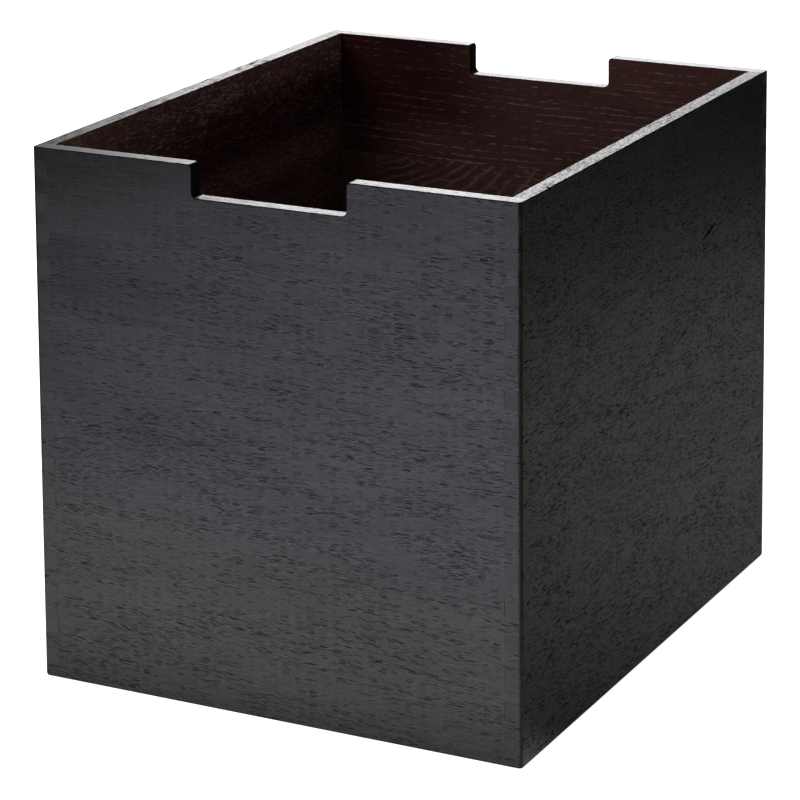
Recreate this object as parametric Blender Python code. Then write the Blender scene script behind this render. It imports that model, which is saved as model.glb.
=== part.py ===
"""Open storage box of dark stained, open-pored hardwood.

Four walls, each glued up edge to edge from seven staves, are finger-jointed at
the corners, and a thin bottom panel sits in a groove near their lower edge.
The two narrow walls have a hand-hold notch in the middle of their top edge.

Metres, +Z up.  The origin is the middle of the footprint, on the ground.
The notched walls are the front (-Y) and back (+Y); the plain side walls are the
left (-X) and right (+X).
"""

import bpy
import bmesh
from mathutils import Matrix, Vector

# ------------------------------------------------------------------ dimensions
WIDTH = 0.280            # outside, across the notched walls (X)
DEPTH = 0.340            # outside, along the plain side walls (Y)
HEIGHT = 0.290           # outside (Z)
WALL = 0.0092            # thickness of every wall
HALF_SIZE = (WIDTH / 2, DEPTH / 2)                   # indexed by axis
X_AXIS, Y_AXIS = 0, 1

FINGER = 0.0089          # height of one full finger of the corner joints
FINGER_ROWS = 31         # full rows between the two end fingers
TOP_ROW = FINGER_ROWS + 1                            # row 0 is the lowest
END_FINGER = (HEIGHT - FINGER_ROWS * FINGER) / 2     # lowest and topmost finger

NOTCH_WIDTH = 0.089      # hand-hold, centred in each notched wall
NOTCH_DEPTH = 0.0175     # below the rim
NOTCH_FLOOR = HEIGHT - NOTCH_DEPTH

# Rounded edges: radius and number of segments
NOTCH_CORNER_R, NOTCH_CORNER_SEGMENTS = 0.0030, 4    # lower corners of a notch
NOTCH_LIP_R, NOTCH_LIP_SEGMENTS = 0.0020, 3          # notch sides meeting the rim
CORNER_R, CORNER_SEGMENTS = 0.0025, 3                # vertical outside corners
RIM_R, RIM_SEGMENTS = 0.0011, 2                      # edges of rim and notches
FOOT_R, FOOT_SEGMENTS = 0.0014, 2                    # lower outside edges

PANEL_THICK = 0.0065     # bottom panel
PANEL_BASE = 0.0082      # its underside above the ground
GROOVE_DEPTH = 0.0040    # how far its groove reaches into each wall

GLUE_GAP = 0.0003        # clearance kept between any two pieces
PAD = 0.01               # how far cutters run past the wood

# Each wall: the axis across its thickness, its side of the box, and the seams
# between its staves as heights below the rim.  Each wall was glued up from
# boards of its own, so no two walls share the same seams.
WALLS = {
    "front": (Y_AXIS, -1, (0.0456, 0.0893, 0.13165, 0.16725, 0.2070, 0.2600)),
    "right": (X_AXIS, 1, (0.03375, 0.07825, 0.12275, 0.1550, 0.1960, 0.2420)),
    "back": (Y_AXIS, 1, (0.0290, 0.0720, 0.1105, 0.15835, 0.1990, 0.24735)),
    "left": (X_AXIS, -1, (0.0400, 0.0830, 0.1180, 0.1630, 0.20285, 0.2520)),
}

# Stain colours (linear RGB), one family with small board-to-board differences.
STAIN = (0.036, 0.036, 0.040)
BOARD_TINT = (1.00, 1.14, 0.90, 1.08, 0.94, 1.18, 0.97)
TINT_SHIFT = 2           # each wall starts this many tints after the one before
PANEL_STAIN = (0.024, 0.021, 0.020)
STAVE_ROUGHNESS = 0.48
PANEL_ROUGHNESS = 0.55

# Tolerances for picking and cleaning up geometry
SAME_PLACE = 1e-5        # coordinates closer than this count as equal
CLEAR_OF = 1e-4          # coordinates further apart than this are distinct
MERGE_DISTANCE = 1e-6
FLAT_ANGLE = 0.002       # radians; faces this close to flat are joined

# ------------------------------------------------------------------ scene setup
for old in list(bpy.data.objects):
    bpy.data.objects.remove(old, do_unlink=True)

PARTS = bpy.data.collections.new("finger_jointed_box")
CUTTERS = bpy.data.collections.new("cutters")
for collection in (PARTS, CUTTERS):
    bpy.context.scene.collection.children.link(collection)


# ------------------------------------------------------------------ helpers
def add_stain(obj, colour, roughness):
    """Gives a piece its own dark stained wood under a thin satin finish."""
    material = bpy.data.materials.new(obj.name + "_stain")
    material.use_nodes = True
    shader = material.node_tree.nodes["Principled BSDF"]
    shader.inputs["Base Color"].default_value = (*colour, 1.0)
    shader.inputs["Roughness"].default_value = roughness
    shader.inputs["Metallic"].default_value = 0.0
    material.diffuse_color = (*colour, 1.0)
    obj.data.materials.append(material)


def add_object(name, shape, collection):
    """Turns a bmesh into an object of the given collection."""
    mesh = bpy.data.meshes.new(name)
    bmesh.ops.recalc_face_normals(shape, faces=shape.faces[:])
    shape.to_mesh(mesh)
    shape.free()
    obj = bpy.data.objects.new(name, mesh)
    collection.objects.link(obj)
    if collection is CUTTERS:
        obj.hide_render = True
        obj.display_type = "WIRE"
    return obj


def add_block(shape, low, high):
    """Adds an axis-aligned box with the given corners to a bmesh."""
    low, high = Vector(low), Vector(high)
    size = high - low
    place = Matrix.Translation((low + high) / 2) @ Matrix.Diagonal((*size, 1.0))
    bmesh.ops.create_cube(shape, size=1.0, matrix=place)


def block_object(name, corners, collection):
    """A single axis-aligned box as an object."""
    shape = bmesh.new()
    add_block(shape, *corners)
    return add_object(name, shape, collection)


def side_slice(axis, side, inner, pad, bottom, top):
    """Corners of the part of the box beyond `inner` on one side of one axis.

    Everywhere else in plan it runs past the outside of the box by `pad`.
    """
    high = [half + pad for half in HALF_SIZE] + [top]
    low = [-half - pad for half in HALF_SIZE] + [bottom]
    if side < 0:
        high[axis] = -inner
    else:
        low[axis] = inner
    return low, high


def round_over(shape, edges, radius, segments):
    bmesh.ops.bevel(shape, geom=edges, offset=radius, segments=segments,
                    profile=0.5, affect="EDGES")


def boolean(obj, other, operation):
    modifier = obj.modifiers.new(operation.lower(), "BOOLEAN")
    modifier.operation = operation
    modifier.solver = "EXACT"
    modifier.object = other


def bake(obj):
    """Replaces an object's mesh by its evaluated one and clears the modifiers."""
    bpy.context.view_layer.update()
    graph = bpy.context.evaluated_depsgraph_get()
    mesh = bpy.data.meshes.new_from_object(obj.evaluated_get(graph), depsgraph=graph)
    obj.modifiers.clear()
    obj.data = mesh


def near(first, second):
    return abs(first - second) < SAME_PLACE


# ------------------------------------------------------------------ carcass form
# The glued-up and machined shape of all four walls together.  Every stave is
# cut out of it, so the rounded edges run on unbroken across the joints.

def carcass_blank():
    """Outside block with its four vertical edges rounded."""
    shape = bmesh.new()
    add_block(shape, (-WIDTH / 2, -DEPTH / 2, 0.0), (WIDTH / 2, DEPTH / 2, HEIGHT))
    upright = []
    for edge in shape.edges:
        start, end = (vert.co for vert in edge.verts)
        if near(start.x, end.x) and near(start.y, end.y):
            upright.append(edge)
    round_over(shape, upright, CORNER_R, CORNER_SEGMENTS)
    return add_object("carcass_form", shape, CUTTERS)


def cavity_cutter():
    """The clear space between the walls."""
    half_x, half_y = (half - WALL for half in HALF_SIZE)
    corners = ((-half_x, -half_y, -PAD), (half_x, half_y, HEIGHT + PAD))
    return block_object("cavity_cutter", corners, CUTTERS)


def notch_cutter():
    """One bar through both narrow walls, with its lower long edges rounded."""
    shape = bmesh.new()
    add_block(shape, (-NOTCH_WIDTH / 2, -DEPTH / 2 - PAD, NOTCH_FLOOR),
              (NOTCH_WIDTH / 2, DEPTH / 2 + PAD, HEIGHT + PAD))
    low_edges = []
    for edge in shape.edges:
        start, end = (vert.co for vert in edge.verts)
        if near(start.z, NOTCH_FLOOR) and near(end.z, NOTCH_FLOOR) and near(start.x, end.x):
            low_edges.append(edge)
    round_over(shape, low_edges, NOTCH_CORNER_R, NOTCH_CORNER_SEGMENTS)
    return add_object("notch_cutter", shape, CUTTERS)


def is_lip_edge(edge):
    """Where the side of a notch meets the rim."""
    return all(near(vert.co.z, HEIGHT) and near(abs(vert.co.x), NOTCH_WIDTH / 2)
               for vert in edge.verts)


def is_rim_face(face):
    """Top of a wall, or a surface of a notch."""
    centre = face.calc_center_median()
    if face.normal.z > 0.999 and centre.z > NOTCH_FLOOR - CLEAR_OF:
        return True
    in_notch = (abs(centre.x) < NOTCH_WIDTH / 2 + NOTCH_LIP_R + SAME_PLACE
                and centre.z > NOTCH_FLOOR - SAME_PLACE)
    return in_notch and abs(face.normal.y) < 0.5


def is_rim_edge(edge):
    """Border between the rim faces and the rest of the walls."""
    faces = edge.link_faces
    return len(faces) == 2 and is_rim_face(faces[0]) != is_rim_face(faces[1])


def is_foot_edge(edge):
    """Outer edge of the underside."""
    on_ground = all(near(vert.co.z, 0.0) for vert in edge.verts)
    outside_cavity = all(abs(vert.co.x) > WIDTH / 2 - WALL + CLEAR_OF
                         or abs(vert.co.y) > DEPTH / 2 - WALL + CLEAR_OF
                         for vert in edge.verts)
    return (on_ground and outside_cavity and len(edge.link_faces) == 2
            and any(face.normal.z > -0.5 for face in edge.link_faces))


def round_edges(obj):
    """Rounds the notch lips, then the whole run of rim edges, then the foot."""
    shape = bmesh.new()
    shape.from_mesh(obj.data)
    # Clean up after the booleans, so that each run of edges bevels evenly.
    bmesh.ops.remove_doubles(shape, verts=shape.verts[:], dist=MERGE_DISTANCE)
    bmesh.ops.dissolve_limit(shape, angle_limit=FLAT_ANGLE, verts=shape.verts[:],
                             edges=shape.edges[:])
    for is_wanted, radius, segments in (
        (is_lip_edge, NOTCH_LIP_R, NOTCH_LIP_SEGMENTS),
        (is_rim_edge, RIM_R, RIM_SEGMENTS),
        (is_foot_edge, FOOT_R, FOOT_SEGMENTS),
    ):
        edges = [edge for edge in shape.edges if is_wanted(edge)]
        round_over(shape, edges, radius, segments)
        shape.normal_update()
    bmesh.ops.recalc_face_normals(shape, faces=shape.faces[:])
    shape.to_mesh(obj.data)
    shape.free()


def panel_corners(grow=0.0):
    """Corners of the bottom panel, grown on every side."""
    half_x, half_y = (half - WALL + GROOVE_DEPTH - GLUE_GAP + grow for half in HALF_SIZE)
    return ((-half_x, -half_y, PANEL_BASE - grow),
            (half_x, half_y, PANEL_BASE + PANEL_THICK + grow))


def build_carcass():
    """Hollow, notched, rounded and grooved form of the four walls."""
    form = carcass_blank()
    boolean(form, cavity_cutter(), "DIFFERENCE")
    boolean(form, notch_cutter(), "DIFFERENCE")
    bake(form)
    round_edges(form)
    groove_cutter = block_object("groove_cutter", panel_corners(GLUE_GAP), CUTTERS)
    boolean(form, groove_cutter, "DIFFERENCE")
    bake(form)
    return form


# ------------------------------------------------------------------ finger combs
def socket_bounds(row):
    """Bottom and top of the socket in a finger row; end rows run past the wood."""
    row_bottom = END_FINGER + (row - 1) * FINGER
    bottom = -PAD if row == 0 else row_bottom - GLUE_GAP / 2
    if row == 0:
        top = END_FINGER + GLUE_GAP / 2
    elif row == TOP_ROW:
        top = HEIGHT + PAD
    else:
        top = row_bottom + FINGER + GLUE_GAP / 2
    return bottom, top


def comb(name, rows, axis):
    """Cutter for the sockets in both ends of a wall that runs along the axis."""
    shape = bmesh.new()
    inner = HALF_SIZE[axis] - WALL - GLUE_GAP
    for row in rows:
        for side in (-1, 1):
            add_block(shape, *side_slice(axis, side, inner, 2 * PAD, *socket_bounds(row)))
    return add_object(name, shape, CUTTERS)


# ------------------------------------------------------------------ pieces
def build_stave(wall, number, top_drop, bottom_drop, wall_comb, carcass):
    """One board of a wall, between two depths below the rim.

    A depth of None stands for the top or the bottom of the wall.
    """
    axis, side, _ = WALLS[wall]
    top = HEIGHT + PAD if top_drop is None else HEIGHT - top_drop - GLUE_GAP / 2
    bottom = -PAD if bottom_drop is None else HEIGHT - bottom_drop + GLUE_GAP / 2
    corners = side_slice(axis, side, HALF_SIZE[axis] - WALL, PAD, bottom, top)
    stave = block_object(f"{wall}_wall_stave_{number}", corners, PARTS)
    boolean(stave, wall_comb, "DIFFERENCE")
    boolean(stave, carcass, "INTERSECT")
    return stave


def build_walls():
    """All staves, numbered from the rim down in each wall."""
    carcass = build_carcass()
    # Even rows are fingers of the notched walls, odd rows of the side walls.
    # Combs are keyed by the axis across the wall they cut.
    combs = {
        Y_AXIS: comb("end_wall_comb", range(1, TOP_ROW + 1, 2), X_AXIS),
        X_AXIS: comb("side_wall_comb", range(0, TOP_ROW + 1, 2), Y_AXIS),
    }
    for wall_index, (wall, (axis, _, seams)) in enumerate(WALLS.items()):
        drops = (None, *seams, None)
        for i, (top_drop, bottom_drop) in enumerate(zip(drops, drops[1:])):
            stave = build_stave(wall, i + 1, top_drop, bottom_drop, combs[axis], carcass)
            tint = BOARD_TINT[(i + TINT_SHIFT * wall_index) % len(BOARD_TINT)]
            add_stain(stave, tuple(channel * tint for channel in STAIN), STAVE_ROUGHNESS)


def build_bottom_panel():
    panel = block_object("bottom_panel", panel_corners(), PARTS)
    add_stain(panel, PANEL_STAIN, PANEL_ROUGHNESS)


build_walls()
build_bottom_panel()
bpy.context.view_layer.update()
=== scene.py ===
import math
import random

import bmesh
import bpy
from mathutils import Matrix, Vector


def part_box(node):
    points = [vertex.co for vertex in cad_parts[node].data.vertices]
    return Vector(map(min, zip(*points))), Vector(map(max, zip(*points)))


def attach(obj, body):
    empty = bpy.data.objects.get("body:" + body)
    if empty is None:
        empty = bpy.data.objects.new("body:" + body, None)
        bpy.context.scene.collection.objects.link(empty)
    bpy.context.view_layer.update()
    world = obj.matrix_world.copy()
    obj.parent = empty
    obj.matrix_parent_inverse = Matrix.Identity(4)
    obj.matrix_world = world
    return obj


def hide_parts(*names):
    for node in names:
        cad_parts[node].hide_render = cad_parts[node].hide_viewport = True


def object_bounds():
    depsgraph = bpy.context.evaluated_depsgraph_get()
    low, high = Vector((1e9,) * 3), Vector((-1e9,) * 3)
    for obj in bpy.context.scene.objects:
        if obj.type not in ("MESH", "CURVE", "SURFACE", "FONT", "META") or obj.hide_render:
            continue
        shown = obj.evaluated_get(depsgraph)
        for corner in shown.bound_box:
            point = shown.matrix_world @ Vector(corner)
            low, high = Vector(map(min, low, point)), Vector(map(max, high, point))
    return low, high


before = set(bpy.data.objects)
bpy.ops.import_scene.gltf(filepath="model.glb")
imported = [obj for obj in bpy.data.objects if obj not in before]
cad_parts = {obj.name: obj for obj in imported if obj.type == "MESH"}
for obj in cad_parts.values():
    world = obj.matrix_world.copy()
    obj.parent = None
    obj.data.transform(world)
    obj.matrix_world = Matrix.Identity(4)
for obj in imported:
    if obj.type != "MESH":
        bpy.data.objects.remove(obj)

cad_low, cad_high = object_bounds()

# ---------------------------------------------------------------- sizes, from the frame
WIDTH = cad_high.x - cad_low.x
DEPTH = cad_high.y - cad_low.y
HEIGHT = cad_high.z - cad_low.z
_wl, _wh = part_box("front_wall_stave_2")
WALL = _wh.y - _wl.y

FINGER = 0.0089
FINGER_ROWS = 31
END_FINGER = (HEIGHT - FINGER_ROWS * FINGER) / 2.0
NOTCH_WIDTH = 0.089
NOTCH_DEPTH = 0.0175
NOTCH_CORNER_R = 0.0030
NOTCH_LIP_R = 0.0020
CORNER_R = 0.0025
RIM_R = 0.0006
FOOT_R = 0.0014
PANEL_GAP = 0.0003

SEAM = 0.00005           # glue line between staves
FIT = 0.00003            # play above and below each finger
PAD = 0.01
WALLS = ("front", "right", "back", "left")
STAVES = 7


def node_name(wall, i):
    return f"{wall}_wall_stave_{i}"


def seams(wall):
    """Heights of the glue lines, from the top stave down."""
    out = []
    for i in range(1, STAVES):
        out.append((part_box(node_name(wall, i))[0].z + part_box(node_name(wall, i + 1))[1].z) / 2)
    return out


# ---------------------------------------------------------------- mesh helpers
SCENE = bpy.context.scene


def near(a, b, tol=1e-5):
    return abs(a - b) < tol


def new_object(name, bm):
    mesh = bpy.data.meshes.new(name)
    bmesh.ops.recalc_face_normals(bm, faces=bm.faces[:])
    bm.to_mesh(mesh)
    bm.free()
    obj = bpy.data.objects.new(name, mesh)
    SCENE.collection.objects.link(obj)
    return obj


def block(bm, low, high):
    low, high = Vector(low), Vector(high)
    place = Matrix.Translation((low + high) / 2) @ Matrix.Diagonal((*(high - low), 1.0))
    bmesh.ops.create_cube(bm, size=1.0, matrix=place)


def boolean(obj, other, operation):
    mod = obj.modifiers.new(operation.lower(), "BOOLEAN")
    mod.operation, mod.solver, mod.object = operation, "EXACT", other


def bake(obj):
    bpy.context.view_layer.update()
    graph = bpy.context.evaluated_depsgraph_get()
    mesh = bpy.data.meshes.new_from_object(obj.evaluated_get(graph), depsgraph=graph)
    old = obj.data
    obj.modifiers.clear()
    obj.data = mesh
    bpy.data.meshes.remove(old)
    mesh.name = obj.name


def remove(*objs):
    for o in objs:
        bpy.data.objects.remove(o, do_unlink=True)


# ---------------------------------------------------------------- the machined carcass
def is_rim_face(face):
    c = face.calc_center_median()
    if face.normal.z > 0.999 and c.z > HEIGHT - NOTCH_DEPTH - 1e-4:
        return True
    return (abs(c.x) < NOTCH_WIDTH / 2 + NOTCH_LIP_R + 1e-5
            and c.z > HEIGHT - NOTCH_DEPTH - 1e-5 and abs(face.normal.y) < 0.5)


def carcass():
    """All four walls in one piece, with every rounded edge. The staves are cut from it."""
    bm = bmesh.new()
    block(bm, (-WIDTH / 2, -DEPTH / 2, 0), (WIDTH / 2, DEPTH / 2, HEIGHT))
    upright = [e for e in bm.edges
               if near(e.verts[0].co.x, e.verts[1].co.x) and near(e.verts[0].co.y, e.verts[1].co.y)]
    bmesh.ops.bevel(bm, geom=upright, offset=CORNER_R, segments=7, profile=0.5, affect="EDGES")
    form = new_object("carcass_form", bm)

    bm = bmesh.new()
    block(bm, (-WIDTH / 2 + WALL, -DEPTH / 2 + WALL, -PAD),
          (WIDTH / 2 - WALL, DEPTH / 2 - WALL, HEIGHT + PAD))
    cavity = new_object("cavity_cutter", bm)

    bm = bmesh.new()
    floor = HEIGHT - NOTCH_DEPTH
    block(bm, (-NOTCH_WIDTH / 2, -DEPTH / 2 - PAD, floor),
          (NOTCH_WIDTH / 2, DEPTH / 2 + PAD, HEIGHT + PAD))
    low = [e for e in bm.edges
           if near(e.verts[0].co.z, floor) and near(e.verts[1].co.z, floor)
           and near(e.verts[0].co.x, e.verts[1].co.x)]
    bmesh.ops.bevel(bm, geom=low, offset=NOTCH_CORNER_R, segments=8, profile=0.5, affect="EDGES")
    notch = new_object("notch_cutter", bm)

    boolean(form, cavity, "DIFFERENCE")
    boolean(form, notch, "DIFFERENCE")
    bake(form)

    bm = bmesh.new()
    bm.from_mesh(form.data)
    bmesh.ops.remove_doubles(bm, verts=bm.verts[:], dist=1e-6)
    bmesh.ops.dissolve_limit(bm, angle_limit=0.002, verts=bm.verts[:], edges=bm.edges[:])
    lips = [e for e in bm.edges
            if all(near(v.co.z, HEIGHT) and near(abs(v.co.x), NOTCH_WIDTH / 2) for v in e.verts)]
    bmesh.ops.bevel(bm, geom=lips, offset=NOTCH_LIP_R, segments=6, profile=0.5, affect="EDGES")
    bm.normal_update()
    rim = [e for e in bm.edges if len(e.link_faces) == 2
           and is_rim_face(e.link_faces[0]) != is_rim_face(e.link_faces[1])]
    bmesh.ops.bevel(bm, geom=rim, offset=RIM_R, segments=4, profile=0.5, affect="EDGES")
    bm.normal_update()
    foot = [e for e in bm.edges
            if all(near(v.co.z, 0.0) for v in e.verts)
            and all(abs(v.co.x) > WIDTH / 2 - WALL + 1e-4
                    or abs(v.co.y) > DEPTH / 2 - WALL + 1e-4 for v in e.verts)
            and len(e.link_faces) == 2 and any(f.normal.z > -0.5 for f in e.link_faces)]
    bmesh.ops.bevel(bm, geom=foot, offset=FOOT_R, segments=4, profile=0.5, affect="EDGES")
    bmesh.ops.recalc_face_normals(bm, faces=bm.faces[:])
    bm.to_mesh(form.data)
    bm.free()

    pl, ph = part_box("bottom_panel")
    grow = Vector((PANEL_GAP,) * 3)
    bm = bmesh.new()
    block(bm, pl - grow, ph + grow)
    groove = new_object("groove_cutter", bm)
    boolean(form, groove, "DIFFERENCE")
    bake(form)
    remove(cavity, notch, groove)
    return form


# ---------------------------------------------------------------- staves
def row_bounds(row):
    if row == 0:
        return -PAD, END_FINGER
    if row == FINGER_ROWS + 1:
        return HEIGHT - END_FINGER, HEIGHT + PAD
    low = END_FINGER + (row - 1) * FINGER
    return low, low + FINGER


def socket_play(wall, end, row):
    """Open joint at the bottom of a socket: a hairline, wider in some sockets."""
    r = random.Random(f"{wall}{end}{row}").random()
    if wall in ("left", "right"):
        return 0.00010 + 0.00016 * r if end > 0 else 0.00003 + 0.00007 * r
    low_rows = row < 6
    return 0.00004 + (0.00018 * r if low_rows or r > 0.8 else 0.00004 * r)


def stave_region(wall, number, low, high):
    """Plan of one stave with the sockets cut in both ends, run out through the wall's thickness."""
    own = 0 if wall in ("front", "back") else 1     # rows where this wall has its fingers
    length = (WIDTH if own == 0 else DEPTH) / 2
    edge = {}
    for end in (-1, 1):
        steps = []
        for row in range(FINGER_ROWS + 2):
            a, b = row_bounds(row)
            if row % 2 == own:
                a, b, reach = a + FIT, b - FIT, length + PAD
            else:
                a, b, reach = a - FIT, b + FIT, length - WALL - socket_play(wall, end, row)
            a, b = max(a, low), min(b, high)
            if b - a > 1e-6:
                steps.append((a, b, end * reach))
        edge[end] = steps
    outline = []
    for a, b, x in edge[1]:
        outline += [(x, a), (x, b)]
    for a, b, x in reversed(edge[-1]):
        outline += [(x, b), (x, a)]
    # the first finger and the last meet the stave's own lower and upper edge
    inner = {"front": -DEPTH / 2 + WALL, "back": DEPTH / 2 - WALL,
             "left": -WIDTH / 2 + WALL, "right": WIDTH / 2 - WALL}[wall]
    outer = inner + math.copysign(WALL + PAD, inner)
    bm = bmesh.new()
    if own == 0:
        ring = [bm.verts.new((x, inner, z)) for x, z in outline]
        move = Vector((0, outer - inner, 0))
    else:
        ring = [bm.verts.new((inner, x, z)) for x, z in outline]
        move = Vector((outer - inner, 0, 0))
    face = bm.faces.new(ring)
    grown = bmesh.ops.extrude_face_region(bm, geom=[face])
    bmesh.ops.translate(bm, vec=move, verts=[v for v in grown["geom"] if isinstance(v, bmesh.types.BMVert)])
    return new_object(f"{wall}_stave_{number}_shaped", bm)


def finish_mesh(obj):
    bm = bmesh.new()
    bm.from_mesh(obj.data)
    bmesh.ops.remove_doubles(bm, verts=bm.verts[:], dist=2e-6)
    bmesh.ops.dissolve_degenerate(bm, dist=1e-6, edges=bm.edges[:])
    bmesh.ops.recalc_face_normals(bm, faces=bm.faces[:])
    bm.to_mesh(obj.data)
    bm.free()
    obj.data.shade_smooth()
    obj.data.set_sharp_from_angle(angle=math.radians(32))
    mod = obj.modifiers.new("even_shading", "WEIGHTED_NORMAL")
    mod.keep_sharp, mod.weight = True, 60


# ---------------------------------------------------------------- node helpers
class Graph:
    def __init__(self, tree):
        self.tree = tree

    def node(self, kind, **settings):
        n = self.tree.nodes.new(kind)
        for k, v in settings.items():
            setattr(n, k, v)
        return n

    def put(self, socket, value):
        if isinstance(value, bpy.types.NodeSocket):
            self.tree.links.new(value, socket)
        else:
            socket.default_value = value

    def math(self, op, a, b=None, c=None, clamp=False):
        n = self.node("ShaderNodeMath", operation=op, use_clamp=clamp)
        for s, v in zip(n.inputs, (a, b, c)):
            if v is not None:
                self.put(s, v)
        return n.outputs[0]

    def add(self, a, b): return self.math("ADD", a, b)
    def sub(self, a, b): return self.math("SUBTRACT", a, b)
    def mul(self, a, b): return self.math("MULTIPLY", a, b)
    def div(self, a, b): return self.math("DIVIDE", a, b)
    def maxi(self, a, b): return self.math("MAXIMUM", a, b)
    def mini(self, a, b): return self.math("MINIMUM", a, b)

    def vec(self, x, y, z):
        n = self.node("ShaderNodeCombineXYZ")
        for s, v in zip(n.inputs, (x, y, z)):
            self.put(s, v)
        return n.outputs[0]

    def split(self, v):
        n = self.node("ShaderNodeSeparateXYZ")
        self.put(n.inputs[0], v)
        return n.outputs

    def step(self, x, lo, hi, out_lo=0.0, out_hi=1.0, smooth=True):
        """out_lo at lo, out_hi at hi, held outside. lo may be above hi."""
        n = self.node("ShaderNodeMapRange", clamp=True,
                      interpolation_type="SMOOTHSTEP" if smooth else "LINEAR")
        for name, v in (("Value", x), ("From Min", lo), ("From Max", hi),
                        ("To Min", out_lo), ("To Max", out_hi)):
            self.put(n.inputs[name], v)
        return n.outputs["Result"]

    def noise(self, v, scale=1.0, detail=2.0, rough=0.5, distortion=0.0):
        n = self.node("ShaderNodeTexNoise", noise_dimensions="3D")
        self.put(n.inputs["Vector"], v)
        self.put(n.inputs["Scale"], scale)
        self.put(n.inputs["Detail"], detail)
        self.put(n.inputs["Roughness"], rough)
        self.put(n.inputs["Distortion"], distortion)
        return n

    def cells(self, v, randomness=1.0):
        n = self.node("ShaderNodeTexVoronoi", voronoi_dimensions="3D", feature="F1", distance="CHEBYCHEV")
        self.put(n.inputs["Vector"], v)
        self.put(n.inputs["Scale"], 1.0)
        self.put(n.inputs["Randomness"], randomness)
        return n

    def mixf(self, f, a, b):
        n = self.node("ShaderNodeMix", data_type="FLOAT")
        self.put(n.inputs[0], f)
        self.put(n.inputs[2], a)
        self.put(n.inputs[3], b)
        return n.outputs[0]

    def mixc(self, f, a, b, blend="MIX"):
        n = self.node("ShaderNodeMix", data_type="RGBA", blend_type=blend)
        self.put(n.inputs[0], f)
        self.put(n.inputs[6], a)
        self.put(n.inputs[7], b)
        return n.outputs[2]

    def scale_colour(self, colour, k):
        n = self.node("ShaderNodeVectorMath", operation="SCALE")
        self.put(n.inputs[0], colour)
        self.put(n.inputs[3], k)
        return n.outputs[0]


def group_socket(tree, name, kind, io, default=None):
    s = tree.interface.new_socket(name=name, in_out=io, socket_type=kind)
    if default is not None:
        s.default_value = default
    return s


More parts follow.
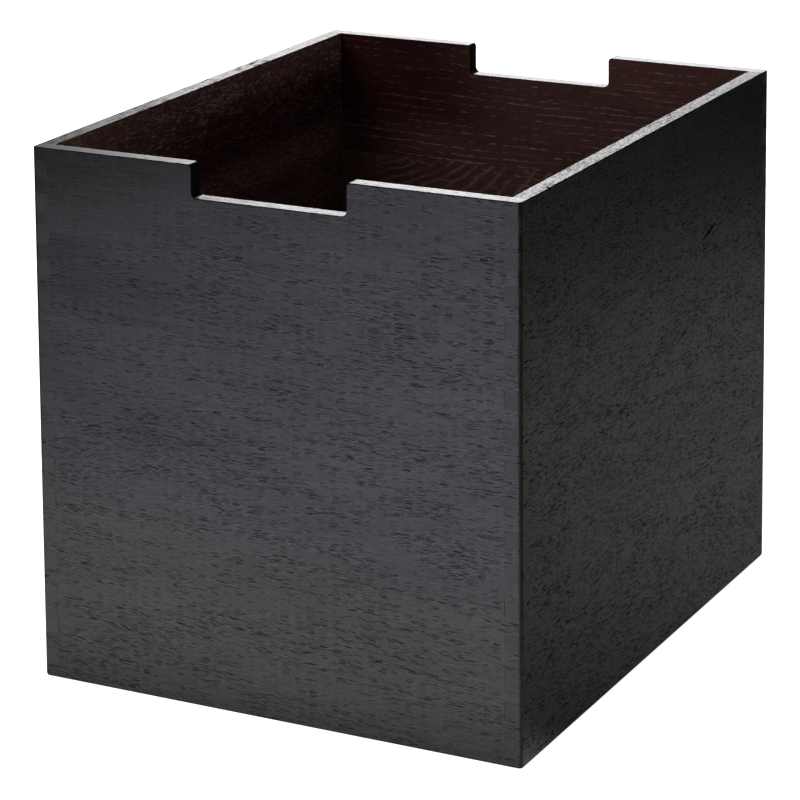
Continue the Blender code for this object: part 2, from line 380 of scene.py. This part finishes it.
# ---------------------------------------------------------------- the wood itself
def wood_group():
    """Open-pored hardwood as a solid: growth rings about a pith line, vessels along the grain.
    Board is a point of the board in metres: u along the grain, v across it, w through it.
    Rim and End say which way the cut surface faces, so that vessels are cut lengthwise on a
    face or a rim and across on end grain."""
    tree = bpy.data.node_groups.new("open_pored_wood", "ShaderNodeTree")
    for name, kind, default in (
        ("Board", "NodeSocketVector", None), ("Rim", "NodeSocketFloat", 0.0),
        ("End", "NodeSocketFloat", 0.0), ("Seed", "NodeSocketFloat", 0.0),
        ("Slope", "NodeSocketFloat", 0.0), ("Pith V", "NodeSocketFloat", 0.1),
        ("Pith W", "NodeSocketFloat", -0.1), ("Ring", "NodeSocketFloat", 0.003),
        ("Band", "NodeSocketFloat", 0.4), ("Late", "NodeSocketFloat", 0.2),
        ("Density", "NodeSocketFloat", 1.0), ("Wander", "NodeSocketFloat", 1.0),
        ("Grit", "NodeSocketFloat", 0.5), ("Bore", "NodeSocketFloat", 1.0),
    ):
        group_socket(tree, name, kind, "INPUT", default)
    for name in ("Pore", "Lip", "Fibre", "Tone", "Early"):
        group_socket(tree, name, "NodeSocketFloat", "OUTPUT")
    g = Graph(tree)
    gi, go = g.node("NodeGroupInput"), g.node("NodeGroupOutput")
    I = gi.outputs
    u, v, w = g.split(I["Board"])
    seed = g.mul(I["Seed"], 7.31)

    # boards are never dead straight: the grain wanders a millimetre or two
    wander = g.noise(g.vec(g.add(g.mul(u, 8.0), seed), g.mul(v, 18.0), g.mul(w, 12.0)), detail=2.0)
    wx, wy, wz = g.split(wander.outputs["Color"])
    amount = g.mul(I["Wander"], 0.009)
    v1 = g.add(g.add(v, g.mul(I["Slope"], u)), g.mul(g.sub(wy, 0.5), amount))
    w1 = g.add(w, g.mul(g.sub(wz, 0.5), amount))

    dv, dw = g.sub(v1, I["Pith V"]), g.sub(w1, I["Pith W"])
    r = g.math("SQRT", g.add(g.mul(dv, dv), g.mul(dw, dw)))
    uneven = g.noise(g.vec(g.mul(r, 90.0), seed, g.mul(u, 1.5)), detail=1.0).outputs["Fac"]
    ring = g.add(g.div(r, I["Ring"]), g.mul(uneven, 1.2))
    off = g.math("ABSOLUTE", g.sub(g.math("FRACT", ring), 0.5))
    early = g.step(off, g.mul(I["Band"], 0.62), g.mul(I["Band"], 0.34))

    clump = g.noise(g.vec(g.add(g.mul(u, 26.0), seed), g.mul(v1, 85.0), g.mul(w1, 85.0)), detail=2.0)
    clump = g.step(clump.outputs["Fac"], 0.38, 0.60)
    thin_v = g.mixf(I["Rim"], 1.0, 0.12)
    thin_w = g.maxi(g.maxi(I["Rim"], I["End"]), 0.12)
    long_u = g.mixf(I["End"], 1.0, 0.3)

    def vessels(length, width, share, soft_lo, soft_hi, shift):
        across = g.div(1.0 / width, I["Bore"])
        p = g.vec(g.add(g.mul(g.div(u, length), long_u), g.add(seed, shift)),
                  g.mul(g.mul(v1, across), thin_v), g.mul(g.mul(w1, across), thin_w))
        vor = g.cells(p)
        rx, ry, rz = g.split(vor.outputs["Color"])
        there = g.step(g.sub(share, rx), 0.0, 0.06)
        depth = g.mixf(ry, 0.45, 1.0)
        reach = g.mixf(rz, 0.65, 1.0)                   # some vessels run deeper than others
        d = g.div(vor.outputs["Distance"], reach)
        there = g.mul(there, depth)
        lip = g.mul(g.step(d, soft_lo, soft_hi), g.step(d, soft_hi + 0.30, soft_hi + 0.05))
        return g.mul(g.step(d, soft_hi, soft_lo), there), g.mul(lip, there)

    share = g.mul(g.mixf(early, I["Late"], 0.95), g.mixf(clump, 0.30, 1.05))
    share = g.mul(share, I["Density"])
    big, big_lip = vessels(0.0070, 0.00046, g.mul(share, 1.1), 0.27, 0.42, 3.1)
    long, long_lip = vessels(0.0160, 0.00056, g.mul(share, 0.45), 0.18, 0.34, 11.7)
    fine, _fine_lip = vessels(0.0038, 0.00040, g.mul(g.mixf(clump, 0.55, 1.1), I["Density"]), 0.26, 0.42, 23.9)
    pore = g.math("MINIMUM", g.add(g.maxi(big, long), g.mul(fine, I["Grit"])), 1.0)

    fibre = g.noise(g.vec(g.add(g.mul(u, 30.0), seed), g.mul(v1, 1100.0), g.mul(w1, 1100.0)),
                    detail=3.0, rough=0.6).outputs["Fac"]
    tone = g.noise(g.vec(g.add(g.mul(u, 9.0), seed), g.mul(v, 34.0), g.mul(w, 34.0)),
                   detail=3.0).outputs["Fac"]
    lip = g.mul(g.maxi(big_lip, long_lip), g.sub(1.0, pore))   # lacquer draws up round an open pore
    g.put(go.inputs["Pore"], pore)
    g.put(go.inputs["Lip"], lip)
    g.put(go.inputs["Fibre"], g.sub(fibre, 0.5))
    g.put(go.inputs["Tone"], g.sub(tone, 0.5))
    g.put(go.inputs["Early"], early)
    return tree


WOOD = wood_group()

OUTSIDE = (0.0044, 0.0039, 0.0035)      # stain under lacquer, outer faces
OUTSIDE_PORE = (0.0013, 0.0011, 0.0010)
INSIDE = (0.0364, 0.0146, 0.0133)       # the same stain unsanded and thinly lacquered
INSIDE_PAINTED_SHADE = (0.0170, 0.0029, 0.0036)  # painted shade: the inner colour where shade falls deepest in the box
INSIDE_PORE_GLINT = (0.2500, 0.1650, 0.1480)  # painted glints: inner pores painted far brighter than the stain, standing in for light glinting off their lacquered edges


def stained_wood(name, wall, seed, slope, pith_v, pith_w, ring, band=0.4, late=0.25, density=1.0,
                 wander=1.0, tint=1.0, sheen=1.0, gloss=0.40, marks=(), rim_marks=(), curl=0.0,
                 inside_pore_glint=1.0, pore_dark=1.0, grit=0.4, bore=1.0, pale_and_painted_light=1.0, dull=(), painted_shade_zones=(), painted_light_ramp=(), fuzz=0.0):
    """Black-brown stain under a thin satin lacquer that leaves the pores open.
    The lacquered surface is dark and has the sheen; the open pores are matt."""
    mat = bpy.data.materials.new(name)
    mat.use_nodes = True
    tree = mat.node_tree
    tree.nodes.clear()
    g = Graph(tree)
    coord = g.node("ShaderNodeTexCoord")
    x, y, z = g.split(coord.outputs["Object"])
    nx, ny, nz = g.split(coord.outputs["Normal"])
    ax, ay, az = (g.math("ABSOLUTE", n) for n in (nx, ny, nz))
    if wall in ("front", "back"):
        board, along = g.vec(x, z, y), ax
        inward = g.mul(ny, 1.0 if wall == "front" else -1.0)
    elif wall in ("left", "right"):
        board, along = g.vec(y, z, x), ay
        inward = g.mul(nx, 1.0 if wall == "left" else -1.0)
    else:                                               # the bottom lies flat
        board, along = g.vec(y, x, z), ay
        inward = nz
    bu, bv, bw = g.split(board)
    rim = g.step(az, 0.60, 0.75) if wall != "bottom" else 0.0
    end = g.step(along, 0.60, 0.75)
    wood = g.node("ShaderNodeGroup", node_tree=WOOD)
    for key, value in (("Board", board), ("Rim", rim), ("End", end), ("Seed", seed), ("Slope", slope),
                       ("Pith V", pith_v), ("Pith W", pith_w), ("Ring", ring), ("Band", band),
                       ("Late", late), ("Density", density), ("Wander", wander), ("Grit", grit),
                       ("Bore", bore)):
        g.put(wood.inputs[key], value)
    pore, fibre, tone, early = (wood.outputs[k] for k in ("Pore", "Fibre", "Tone", "Early"))

    inside = g.step(inward, 0.5, 0.8)
    flat = g.maxi(ax, g.maxi(ay, az))
    on_rim = g.step(az, 0.10, 0.30)
    painted_arris_shade = g.step(flat, g.mixf(on_rim, 0.94, 0.975), g.mixf(on_rim, 0.82, 0.90))    # painted shade: rounded edges darkened to stand in for the dark room they reflect
    notch_cheek = g.mul(end, g.step(g.math("ABSOLUTE", x), 0.06, 0.055)) if wall in ("front", "back") else 0.0
    pore = g.mul(pore, g.mul(g.mixf(end, 1.0, 0.35), g.mixf(rim, 1.0, 0.45)))

    k = g.add(1.0, g.add(g.mul(tone, 1.0), g.mul(fibre, 0.8)))
    k = g.mul(k, g.mixf(early, 1.05, 0.95))
    outer = g.scale_colour(tuple(c * tint for c in OUTSIDE), k)
    end_tint = {"left": (0.0064, 0.0050, 0.0046, 1),
                "right": (0.0066, 0.0064, 0.0046, 1)}.get(wall, (0.0040, 0.0038, 0.0032, 1))
    outer = g.mixc(end, outer, end_tint)
    outer = g.mixc(g.mul(pore, pore_dark), outer, (*OUTSIDE_PORE, 1))
    # painted light: the inner colour is scaled up along the board where the lamps leave it too dark
    if painted_light_ramp:
        k = g.mul(k, g.step(bu, *painted_light_ramp))
    # the inner colour is scaled per board: paler boards, and painted light where little light reaches
    inner = g.scale_colour(tuple(c * tint * pale_and_painted_light for c in INSIDE), k)
    pore_glint = (*INSIDE_PORE_GLINT, 1)
    painted_shade = 0.0
    for (along_u, along_v) in painted_shade_zones:                   # painted shade: inner faces turn darker and redder where shade falls in the box
        painted_shade = g.maxi(painted_shade, g.mul(g.step(bu, *along_u), g.step(bv, *along_v)))
    if painted_shade_zones:
        inner = g.mixc(painted_shade, inner, g.scale_colour(INSIDE_PAINTED_SHADE, k))
        pore_glint = g.mixc(g.mul(painted_shade, 0.70), pore_glint, (*INSIDE_PAINTED_SHADE, 1))
    # painted glints in the open pores of the inner faces
    inner = g.mixc(g.mul(pore, inside_pore_glint), inner, pore_glint)
    if curl:                                            # figure: pale wavy streaks across the grain
        lean = g.noise(g.vec(g.mul(bu, 9.0), g.mul(bv, 16.0), seed), detail=1.0).outputs["Fac"]
        ripple = g.noise(g.vec(g.mul(bu, 60.0), g.mul(bv, 70.0), seed), detail=2.0).outputs["Fac"]
        rise = g.sub(bv, HEIGHT - 0.091)
        phase = g.add(g.mul(g.sub(bu, g.mul(rise, g.step(bu, -0.12, 0.06, 2.4, 0.5))), 500.0),
                      g.add(g.mul(lean, 17.0), g.mul(ripple, 4.5)))
        streak = g.step(g.math("SINE", phase), 0.15, 1.05)
        patch = g.noise(g.vec(g.mul(bu, 38.0), g.mul(bv, 46.0), g.add(seed, 4.0)), detail=1.0).outputs["Fac"]
        streak = g.mul(streak, g.step(patch, 0.34, 0.62, 0.15, 1.0))
        inner = g.mixc(g.mul(streak, curl), inner, (0.125, 0.072, 0.064, 1))
    if fuzz:                                            # raised grain, browner towards the front
        nap = g.noise(g.vec(g.mul(bu, 240.0), g.mul(g.add(bv, g.mul(bu, slope)), 620.0), seed), detail=2.0,
                      rough=0.7).outputs["Fac"]
        tuft = g.noise(g.vec(g.mul(bu, 55.0), g.mul(bv, 90.0), g.add(seed, 9.0)), detail=2.0).outputs["Fac"]
        nap = g.mul(g.step(nap, 0.50, 0.72), g.step(tuft, 0.36, 0.62, 0.25, 1.0))
        front_end = g.step(bu, -0.075, -0.150)
        fluff = g.mixc(front_end, (0.200, 0.105, 0.094, 1), (0.215, 0.150, 0.080, 1))
        inner = g.mixc(g.mul(nap, g.mul(fuzz, g.sub(1.0, g.mul(painted_shade, 0.75)))), inner, fluff)
    colour = g.mixc(inside, outer, inner)

    rough = g.add(gloss, g.add(g.mul(tone, 0.12), g.mul(fibre, 0.20)))
    rough = g.add(rough, g.mul(end, 0.05))
    rough = g.add(rough, g.mul(inside, 0.15))
    rough = g.mixf(pore, rough, 0.95)
    level = g.add(0.5 * sheen, g.mul(fibre, 0.35))
    level = g.mul(g.add(level, g.mul(tone, 0.25)), g.mixf(end, 1.0, {"left": 0.97, "right": 1.03}.get(wall, 0.88)))
    level = g.mul(level, g.mixf(inside, 1.0, g.mixf(painted_shade, 0.35, 0.12)))
    level = g.mul(level, g.add(1.0, g.mul(wood.outputs["Lip"], 0.40)))
    for (u0, u1, v0, v1, amount) in dull:               # thinner lacquer, less sheen
        level = g.mul(level, g.sub(1.0, g.mul(g.mul(g.step(bu, u0, u1), g.step(bv, v0, v1)), amount)))
    level = g.mixf(g.mul(pore, pore_dark), level, 0.02)

    marks_and_painted_shade = g.mul(painted_arris_shade, g.mixf(on_rim, 0.35, 0.92))     # painted edge shade, weaker on the upright corners than along the rims
    marks_and_painted_shade = g.maxi(marks_and_painted_shade, g.mul(notch_cheek, 0.9))
    for (cu, cv, cw, lu, lv, lw, tilt, amount) in marks:    # mineral streaks and nicks
        du, dw = g.div(g.sub(bu, cu), lu), g.div(g.sub(bw, cw), lw)
        dv = g.div(g.sub(g.sub(bv, cv), g.mul(g.sub(bu, cu), tilt)), lv)
        ragged = g.noise(g.vec(g.mul(bu, 420.0), g.mul(bv, 900.0), 0.0), detail=2.0).outputs["Fac"]
        d = g.add(g.math("SQRT", g.add(g.add(g.mul(du, du), g.mul(dv, dv)), g.mul(dw, dw))),
                  g.mul(g.sub(ragged, 0.5), 1.1))
        marks_and_painted_shade = g.maxi(marks_and_painted_shade, g.mul(g.step(d, 1.0, 0.6), amount))
    for (cu, lu, amount) in rim_marks:                  # open or torn grain on the top edge
        du = g.math("ABSOLUTE", g.div(g.sub(bu, cu), lu))
        ragged = g.noise(g.vec(g.mul(bu, 90.0), g.mul(bw, 900.0), 3.0), detail=2.0).outputs["Fac"]
        torn = g.mul(g.step(ragged, 0.52, 0.57), g.step(du, 1.0, 0.7))
        marks_and_painted_shade = g.maxi(marks_and_painted_shade, g.mul(g.mul(torn, rim), amount))
    # the marks, the notch's dark end grain and the painted edge shade darken the colour and cut the sheen
    colour = g.mixc(g.mul(marks_and_painted_shade, 0.9), colour, (0.0025, 0.0018, 0.0017, 1))
    level = g.mul(level, g.sub(1.0, marks_and_painted_shade))
    rough = g.mixf(marks_and_painted_shade, rough, 0.8)

    height = g.add(g.mul(pore, -1.0), g.mul(fibre, 0.25))
    bump = g.node("ShaderNodeBump")
    bump.inputs["Strength"].default_value = 0.5
    bump.inputs["Distance"].default_value = 0.00010
    g.put(bump.inputs["Height"], height)

    bsdf = g.node("ShaderNodeBsdfPrincipled")
    g.put(bsdf.inputs["Base Color"], colour)
    g.put(bsdf.inputs["Roughness"], rough)
    g.put(bsdf.inputs["Specular IOR Level"], level)
    bsdf.inputs["IOR"].default_value = 1.5
    g.put(bsdf.inputs["Normal"], bump.outputs["Normal"])
    out = g.node("ShaderNodeOutputMaterial")
    tree.links.new(bsdf.outputs[0], out.inputs["Surface"])
    return mat


# ---------------------------------------------------------------- grain of each board
def board_grain(wall, number, low, high):
    rng = random.Random(f"{wall}-{number}-grain")
    mid = (low + high) / 2
    face = {"front": -DEPTH / 2, "back": DEPTH / 2, "left": -WIDTH / 2, "right": WIDTH / 2}[wall]
    kind = rng.choice(("flat", "rift", "quarter"))
    side = rng.choice((-1, 1))
    if kind == "flat":
        pith_v, pith_w = mid + rng.uniform(-0.012, 0.012), face + side * rng.uniform(0.03, 0.07)
    elif kind == "rift":
        pith_v, pith_w = mid + side * rng.uniform(0.05, 0.08), face + side * rng.uniform(0.04, 0.07)
    else:
        pith_v, pith_w = mid + side * rng.uniform(0.12, 0.2), face + rng.uniform(-0.02, 0.02)
    more = {}
    if wall == "right":
        more = dict(inside_pore_glint=0.55, dull=[(-0.17, -0.165, 0.17, 0.27, 0.62), (-0.09, -0.165, -0.01, 0.0, 0.10),
                                            (-0.06, -0.15, HEIGHT - 0.0009, HEIGHT - 0.0003, -0.20)])
    elif wall == "front":
        more = dict(inside_pore_glint=0.65, dull=[(0.02, -0.14, 0.255, 0.283, 0.42), (0.1380, 0.1390, 0.17, 0.27, 0.62),
                                            (0.0, -0.04, HEIGHT - 0.0009, HEIGHT - 0.0003, -0.28)])
    elif wall == "left":
        # left inner face: painted light towards its front end, painted shade below the rim towards the back
        more = dict(fuzz=1.0, pale_and_painted_light=1.15, painted_light_ramp=(-0.06, -0.13, 1.0, 1.4),
                    dull=[(-0.165, -0.169, 0.255, 0.283, 0.42)], painted_shade_zones=[((-0.09, 0.02, 0.25, 1.0), (HEIGHT - 0.026, HEIGHT - 0.008, 1.0, 0.0))])
        # lower left staves: inner colour painted much paler where little light reaches, with painted shade near their
        # top
        if mid < HEIGHT - 0.040:
            more = dict(fuzz=0.9, pale_and_painted_light=1.9, painted_shade_zones=[((-0.17, 0.0, 0.6, 1.0), (HEIGHT - 0.064, HEIGHT - 0.044, 0.30, 1.0))])
    else:
        # painted shade over the upper left of the back wall's inner face
        more = dict(pale_and_painted_light=1.15, painted_shade_zones=[((-0.085, 0.0, 1.0, 0.0), (HEIGHT - 0.068, HEIGHT - 0.040, 0.0, 1.0))])
    return dict(seed=rng.uniform(1, 60), slope=rng.uniform(-0.02, 0.05), pith_v=pith_v,
                pith_w=pith_w, ring=rng.uniform(0.0030, 0.0048), band=rng.uniform(0.30, 0.60),
                late=rng.uniform(0.20, 0.45) * (1.6 if wall == "right" else 1.0),
                density=rng.uniform(0.85, 1.1) * (1.5 if wall == "right" else 1.1),
                wander=rng.uniform(0.7, 1.5), tint=rng.uniform(0.94, 1.06) * (0.8 if wall == "right" else 1.0),
                grit={"front": 0.35, "back": 0.35, "left": 0.22, "right": 0.9}[wall],
                bore={"front": 0.76, "back": 0.85, "left": 1.5, "right": 1.35}[wall], **more)


SPECIAL = {
    # painted light towards the right end of the back wall's top stave
    ("back", 1): dict(late=0.04, band=0.2, density=0.7, grit=0.10, bore=0.8, painted_light_ramp=(0.0, 0.1, 1.0, 1.2)),
    ("back", 2): dict(pith_v=0.235 + 0.17, pith_w=0.19, ring=0.0042, slope=0.02, band=0.24, late=0.0,
                      density=1.3, wander=0.8, grit=0.12, bore=0.8),
    # painted light at the left end of the back wall's third stave
    ("back", 3): dict(curl=0.65, density=0.4, grit=0.12, pale_and_painted_light=1.0, bore=0.8, painted_shade_zones=(), painted_light_ramp=(-0.125, -0.080, 2.6, 1.0)),
    ("right", 1): dict(marks=[(-0.1360, HEIGHT - 0.0004, WIDTH / 2, 0.0019, 0.0015, 0.0028, 0.0, 1.0)],
                       rim_marks=[(0.02, 0.105, 0.15), (-0.085, 0.020, 0.10)]),
    ("right", 2): dict(marks=[(0.079, 0.2165, WIDTH / 2, 0.0125, 0.0015, 0.0040, 0.28, 0.88)]),
    ("left", 1): dict(rim_marks=[(-DEPTH / 2 + 0.022, 0.026, 0.85), (-DEPTH / 2 + 0.085, 0.020, 0.6),
                                 (-DEPTH / 2 + 0.1125, 0.018, 0.75), (-DEPTH / 2 + 0.155, 0.004, 0.7),
                                 (-DEPTH / 2 + 0.178, 0.007, 0.7), (-DEPTH / 2 + 0.226, 0.019, 0.8)]),
}


# ---------------------------------------------------------------- build the walls
form = carcass()
pieces = []
for wall in WALLS:
    cuts = seams(wall)
    tops = [HEIGHT + PAD] + [c - SEAM / 2 for c in cuts]
    bottoms = [c + SEAM / 2 for c in cuts] + [-PAD]
    for i in range(STAVES):
        piece = stave_region(wall, i + 1, bottoms[i], tops[i])
        boolean(piece, form, "INTERSECT")
        bake(piece)
        finish_mesh(piece)
        grain = board_grain(wall, i + 1, max(bottoms[i], 0.0), min(tops[i], HEIGHT))
        grain.update(SPECIAL.get((wall, i + 1), {}))
        mat = stained_wood(f"{wall}_stave_{i + 1}_wood", wall, **grain)
        piece.data.materials.clear()
        piece.data.materials.append(mat)
        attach(piece, "root")
        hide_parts(node_name(wall, i + 1))
        pieces.append(piece)
remove(form)

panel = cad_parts["bottom_panel"]
panel_mat = stained_wood("bottom_panel_wood", "bottom", seed=71.0, slope=0.01, pith_v=0.01,
                         pith_w=-0.09, ring=0.0042, band=0.35, late=0.15, density=0.9, gloss=0.5)
panel.data.materials.clear()
panel.data.materials.append(panel_mat)

# ---------------------------------------------------------------- floor
FRONT_POOL, RIGHT_POOL = 2.68, 0.37
bm = bmesh.new()
bmesh.ops.create_circle(bm, cap_ends=True, segments=96, radius=14.0)
floor = new_object("studio_floor", bm)
floor_mat = bpy.data.materials.new("pale_floor")
floor_mat.use_nodes = True
floor_mat.node_tree.nodes.clear()
g = Graph(floor_mat.node_tree)
diffuse = g.node("ShaderNodeBsdfDiffuse")
diffuse.inputs["Color"].default_value = (0.86, 0.86, 0.865, 1)
glow = g.node("ShaderNodeEmission")
glow.name = "floor_glow"
glow.inputs["Color"].default_value = (1, 1, 1, 1)
glow.inputs["Strength"].default_value = 0.93
lit = g.node("ShaderNodeAddShader")
floor_mat.node_tree.links.new(diffuse.outputs[0], lit.inputs[0])
floor_mat.node_tree.links.new(glow.outputs[0], lit.inputs[1])
# in reflections the sheet is dim but for two painted pools of light, which it emits to glossy rays alone: a bright
# one in front of the box, falling away to the left, and a weak one at its right, behind the near corner
geo = g.node("ShaderNodeNewGeometry")
px, py, pz = g.split(geo.outputs["Position"])


def pool(cx, cy, inner, outer, squeeze=1.0):
    dx, dy = g.sub(px, cx), g.mul(g.sub(py, cy), squeeze)
    away = g.math("SQRT", g.add(g.mul(dx, dx), g.mul(dy, dy)))
    return g.step(away, inner, outer, 1.0, 0.0)


front_pool = g.mul(pool(-0.10, -0.80, 0.30, 1.72), g.step(px, -0.80, -0.12, 0.0, 1.0))
front_pool = g.mul(front_pool, g.mul(g.step(px, 0.16, 0.40, 1.0, 0.0), g.step(py, -0.24, -0.10, 1.0, 0.0)))
front_pool = g.mul(front_pool, g.step(py, -0.85, -0.35, 1.0, 0.69))
front_part = g.mul(front_pool, FRONT_POOL)
front_part.node.name = "front_part"
right_part = g.mul(pool(0.31, 0.42, 0.14, 0.58, 0.74), RIGHT_POOL)
right_part.node.name = "right_part"
share = g.div(right_part, g.add(g.add(front_part, right_part), 0.001))
seen = g.node("ShaderNodeEmission")
near_box = g.mixc(g.step(py, -0.55, -0.22), (0.91, 0.925, 1.12, 1), (0.99, 0.955, 0.99, 1))
g.put(seen.inputs["Color"], g.mixc(share, near_box, (1.0, 1.0, 0.93, 1)))
g.put(seen.inputs["Strength"], g.add(g.add(front_part, right_part), 0.02))
path = g.node("ShaderNodeLightPath")
pick = g.node("ShaderNodeMixShader")
g.put(pick.inputs[0], path.outputs["Is Glossy Ray"])
floor_mat.node_tree.links.new(lit.outputs[0], pick.inputs[1])
floor_mat.node_tree.links.new(seen.outputs[0], pick.inputs[2])
out = g.node("ShaderNodeOutputMaterial")
floor_mat.node_tree.links.new(pick.outputs[0], out.inputs["Surface"])
floor_mat.cycles.emission_sampling = "NONE"
floor.data.materials.append(floor_mat)

# ---------------------------------------------------------------- light
WORLD = 0.20
world = bpy.data.worlds.new("studio")
SCENE.world = world
world.use_nodes = True
wg = Graph(world.node_tree)
bg = world.node_tree.nodes.get("Background") or wg.node("ShaderNodeBackground")
sky = wg.node("ShaderNodeTexCoord")
_sx, _sy, sz = wg.split(sky.outputs["Generated"])
bg.inputs["Color"].default_value = (0.92, 0.95, 1.0, 1)
low_sky = wg.mul(wg.step(sz, 0.0, 0.6, 1.0, 0.2), WORLD)
low_sky.node.name = "low_sky"
wg.put(bg.inputs["Strength"], low_sky)


def softbox(name, place, aim, width, height, power, colour=(1, 1, 1), spread=180.0):
    light = bpy.data.lights.new(name, "AREA")
    light.shape, light.size, light.size_y = "RECTANGLE", width, height
    light.energy, light.color = power, colour
    light.spread = math.radians(spread)
    obj = bpy.data.objects.new(name, light)
    SCENE.collection.objects.link(obj)
    place, aim = Vector(place), Vector(aim)
    obj.location = place
    obj.rotation_euler = (aim - place).to_track_quat("-Z", "Y").to_euler()
    return obj


CENTRE = Vector((0, 0, HEIGHT / 2))
softbox("overhead", (0.0, 0.1, 2.4), (0, 0, 0), 2.6, 2.6, 16.0, (1.0, 0.99, 0.97))
softbox("key_left", (-1.10, -1.45, 1.75), CENTRE, 1.3, 1.3, 31.0, (1.0, 0.97, 0.93))
softbox("rim_panel", (-0.63, 1.5, 0.94), (-0.02, 0.0, 0.29), 0.74, 0.55, 12.4, (1.0, 0.985, 1.0))
softbox("low_right", (1.70, -0.35, 0.53), (-0.13, 0.05, 0.27), 0.6, 0.40, 3.6, (1.0, 0.97, 0.94))

# ---------------------------------------------------------------- camera
UNIT = 0.2785
AZ, EL, ROLL = math.radians(27.32), math.radians(9.34), math.radians(-0.52)
LENS_PX, CX, CY = 3379.0, 360.0, -90.3
back = Vector((math.sin(AZ) * math.cos(EL), -math.cos(AZ) * math.cos(EL), math.sin(EL)))
right = Vector((0, 0, 1)).cross(back).normalized()
up = back.cross(right)
cam_x = math.cos(ROLL) * right + math.sin(ROLL) * up
cam_y = -math.sin(ROLL) * right + math.cos(ROLL) * up
where = Vector((-2.643, 4.881, 0.5191)) * UNIT + back * (12.187 * UNIT) + Vector((0.0001, -0.0006, 0.0004))
cam_data = bpy.data.cameras.new("camera")
camera = bpy.data.objects.new("camera", cam_data)
SCENE.collection.objects.link(camera)
camera.rotation_mode = "QUATERNION"
camera.location = where
camera.rotation_quaternion = Matrix((cam_x, cam_y, back)).transposed().to_quaternion()
cam_data.sensor_width = 36.0
cam_data.lens = LENS_PX / 800.0 * 36.0
cam_data.clip_start, cam_data.clip_end = 0.05, 60.0
SCENE.camera = camera


def shift_here(path, amount):
    """The lens shift belongs to this one viewpoint: it fades to none when the camera is elsewhere."""
    curve = cam_data.driver_add(path)
    for m in list(curve.modifiers):
        curve.modifiers.remove(m)
    drv = curve.driver
    drv.type = "SUM"
    var = drv.variables.new()
    var.type = "TRANSFORMS"
    var.targets[0].id = camera
    var.targets[0].transform_type = "LOC_X"
    var.targets[0].transform_space = "WORLD_SPACE"
    keys = ((-0.04, 0.0), (-0.02, amount), (0.02, amount), (0.04, 0.0))
    curve.keyframe_points.add(len(keys))
    for kp, (dx, value) in zip(curve.keyframe_points, keys):
        kp.co = (camera.location.x + dx, value)
        kp.interpolation = "LINEAR"
    curve.extrapolation = "CONSTANT"
    curve.update()


shift_here("shift_x", (400.0 - CX) / 800.0)
shift_here("shift_y", (CY - 400.0) / 800.0)

SCENE.view_settings.view_transform = "Standard"
SCENE.view_settings.look = "None"
SCENE.view_settings.exposure = 0.0
SCENE.view_settings.gamma = 1.0
